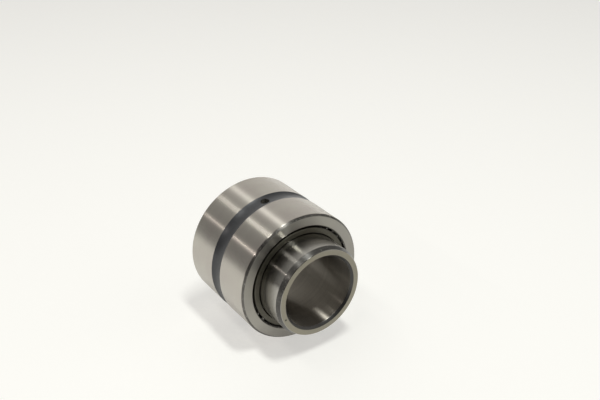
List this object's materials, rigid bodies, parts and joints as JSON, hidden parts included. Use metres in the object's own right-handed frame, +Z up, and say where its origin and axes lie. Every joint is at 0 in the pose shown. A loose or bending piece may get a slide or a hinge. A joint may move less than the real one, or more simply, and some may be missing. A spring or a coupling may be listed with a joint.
{
  "type": "needle roller bearing",
  "caption": "Needle roller bearing with a grooved outer ring, a caged set of needle rollers and a separate inner ring pulled part way out of the front.",
  "frame": {"origin": "centre of the outer ring, on the bearing's axis", "axes": "+Y along the bearing's axis towards its rear face, -Y towards the side where the inner ring stands out, +Z up when the bearing lies on its outside with the oil hole near the top, +X to the right seen from the front"},
  "size_m": [0.027, 0.0263, 0.027],
  "materials": {
    "outer_ring_steel": "ground bearing steel",
    "inner_ring_steel": "finely ground bearing steel",
    "cage_steel": "dull stamped steel",
    "roller_steel": "lapped bearing steel"
  },
  "bodies": {
    "outer_ring": {"outer_ring": "outer_ring_steel"},
    "inner_ring": {"inner_ring": "inner_ring_steel"},
    "cage": {"cage": "cage_steel"},
    "roller_01": {"roller_01": "roller_steel"},
    "roller_02": {"roller_02": "roller_steel"},
    "roller_03": {"roller_03": "roller_steel"},
    "roller_04": {"roller_04": "roller_steel"},
    "roller_05": {"roller_05": "roller_steel"},
    "roller_06": {"roller_06": "roller_steel"},
    "roller_07": {"roller_07": "roller_steel"},
    "roller_08": {"roller_08": "roller_steel"},
    "roller_09": {"roller_09": "roller_steel"},
    "roller_10": {"roller_10": "roller_steel"},
    "roller_11": {"roller_11": "roller_steel"},
    "roller_12": {"roller_12": "roller_steel"},
    "roller_13": {"roller_13": "roller_steel"},
    "roller_14": {"roller_14": "roller_steel"},
    "roller_15": {"roller_15": "roller_steel"},
    "roller_16": {"roller_16": "roller_steel"},
    "roller_17": {"roller_17": "roller_steel"},
    "roller_18": {"roller_18": "roller_steel"}
  },
  "joints": [
    {"name": "inner_ring_spin", "type": "hinge", "parent": "outer_ring", "child": "inner_ring", "pos_m": [0, 0, 0], "axis": [0, 1, 0], "continuous": true},
    {"name": "cage_spin", "type": "hinge", "parent": "outer_ring", "child": "cage", "pos_m": [0, 0, 0], "axis": [0, 1, 0], "continuous": true},
    {"name": "roller_01_spin", "type": "hinge", "parent": "cage", "child": "roller_01", "pos_m": [0, 0, 0.01077], "axis": [0, 1, 0], "continuous": true},
    {"name": "roller_02_spin", "type": "hinge", "parent": "cage", "child": "roller_02", "pos_m": [0.00368, 0, 0.01012], "axis": [0, 1, 0], "continuous": true},
    {"name": "roller_03_spin", "type": "hinge", "parent": "cage", "child": "roller_03", "pos_m": [0.00692, 0, 0.00825], "axis": [0, 1, 0], "continuous": true},
    {"name": "roller_04_spin", "type": "hinge", "parent": "cage", "child": "roller_04", "pos_m": [0.00933, 0, 0.00539], "axis": [0, 1, 0], "continuous": true},
    {"name": "roller_05_spin", "type": "hinge", "parent": "cage", "child": "roller_05", "pos_m": [0.01061, 0, 0.00187], "axis": [0, 1, 0], "continuous": true},
    {"name": "roller_06_spin", "type": "hinge", "parent": "cage", "child": "roller_06", "pos_m": [0.01061, 0, -0.00187], "axis": [0, 1, 0], "continuous": true},
    {"name": "roller_07_spin", "type": "hinge", "parent": "cage", "child": "roller_07", "pos_m": [0.00933, 0, -0.00539], "axis": [0, 1, 0], "continuous": true},
    {"name": "roller_08_spin", "type": "hinge", "parent": "cage", "child": "roller_08", "pos_m": [0.00692, 0, -0.00825], "axis": [0, 1, 0], "continuous": true},
    {"name": "roller_09_spin", "type": "hinge", "parent": "cage", "child": "roller_09", "pos_m": [0.00368, 0, -0.01012], "axis": [0, 1, 0], "continuous": true},
    {"name": "roller_10_spin", "type": "hinge", "parent": "cage", "child": "roller_10", "pos_m": [0, 0, -0.01077], "axis": [0, 1, 0], "continuous": true},
    {"name": "roller_11_spin", "type": "hinge", "parent": "cage", "child": "roller_11", "pos_m": [-0.00368, 0, -0.01012], "axis": [0, 1, 0], "continuous": true},
    {"name": "roller_12_spin", "type": "hinge", "parent": "cage", "child": "roller_12", "pos_m": [-0.00692, 0, -0.00825], "axis": [0, 1, 0], "continuous": true},
    {"name": "roller_13_spin", "type": "hinge", "parent": "cage", "child": "roller_13", "pos_m": [-0.00933, 0, -0.00539], "axis": [0, 1, 0], "continuous": true},
    {"name": "roller_14_spin", "type": "hinge", "parent": "cage", "child": "roller_14", "pos_m": [-0.01061, 0, -0.00187], "axis": [0, 1, 0], "continuous": true},
    {"name": "roller_15_spin", "type": "hinge", "parent": "cage", "child": "roller_15", "pos_m": [-0.01061, 0, 0.00187], "axis": [0, 1, 0], "continuous": true},
    {"name": "roller_16_spin", "type": "hinge", "parent": "cage", "child": "roller_16", "pos_m": [-0.00933, 0, 0.00539], "axis": [0, 1, 0], "continuous": true},
    {"name": "roller_17_spin", "type": "hinge", "parent": "cage", "child": "roller_17", "pos_m": [-0.00692, 0, 0.00825], "axis": [0, 1, 0], "continuous": true},
    {"name": "roller_18_spin", "type": "hinge", "parent": "cage", "child": "roller_18", "pos_m": [-0.00368, 0, 0.01012], "axis": [0, 1, 0], "continuous": true}
  ],
  "couplings": [
    {"joint": "cage_spin", "follows": "inner_ring_spin", "ratio": 0.44104},
    {"joint": "roller_01_spin", "follows": "inner_ring_spin", "ratio": -4.2481},
    {"joint": "roller_02_spin", "follows": "inner_ring_spin", "ratio": -4.2481},
    {"joint": "roller_03_spin", "follows": "inner_ring_spin", "ratio": -4.2481},
    {"joint": "roller_04_spin", "follows": "inner_ring_spin", "ratio": -4.2481},
    {"joint": "roller_05_spin", "follows": "inner_ring_spin", "ratio": -4.2481},
    {"joint": "roller_06_spin", "follows": "inner_ring_spin", "ratio": -4.2481},
    {"joint": "roller_07_spin", "follows": "inner_ring_spin", "ratio": -4.2481},
    {"joint": "roller_08_spin", "follows": "inner_ring_spin", "ratio": -4.2481},
    {"joint": "roller_09_spin", "follows": "inner_ring_spin", "ratio": -4.2481},
    {"joint": "roller_10_spin", "follows": "inner_ring_spin", "ratio": -4.2481},
    {"joint": "roller_11_spin", "follows": "inner_ring_spin", "ratio": -4.2481},
    {"joint": "roller_12_spin", "follows": "inner_ring_spin", "ratio": -4.2481},
    {"joint": "roller_13_spin", "follows": "inner_ring_spin", "ratio": -4.2481},
    {"joint": "roller_14_spin", "follows": "inner_ring_spin", "ratio": -4.2481},
    {"joint": "roller_15_spin", "follows": "inner_ring_spin", "ratio": -4.2481},
    {"joint": "roller_16_spin", "follows": "inner_ring_spin", "ratio": -4.2481},
    {"joint": "roller_17_spin", "follows": "inner_ring_spin", "ratio": -4.2481},
    {"joint": "roller_18_spin", "follows": "inner_ring_spin", "ratio": -4.2481}
  ]
}
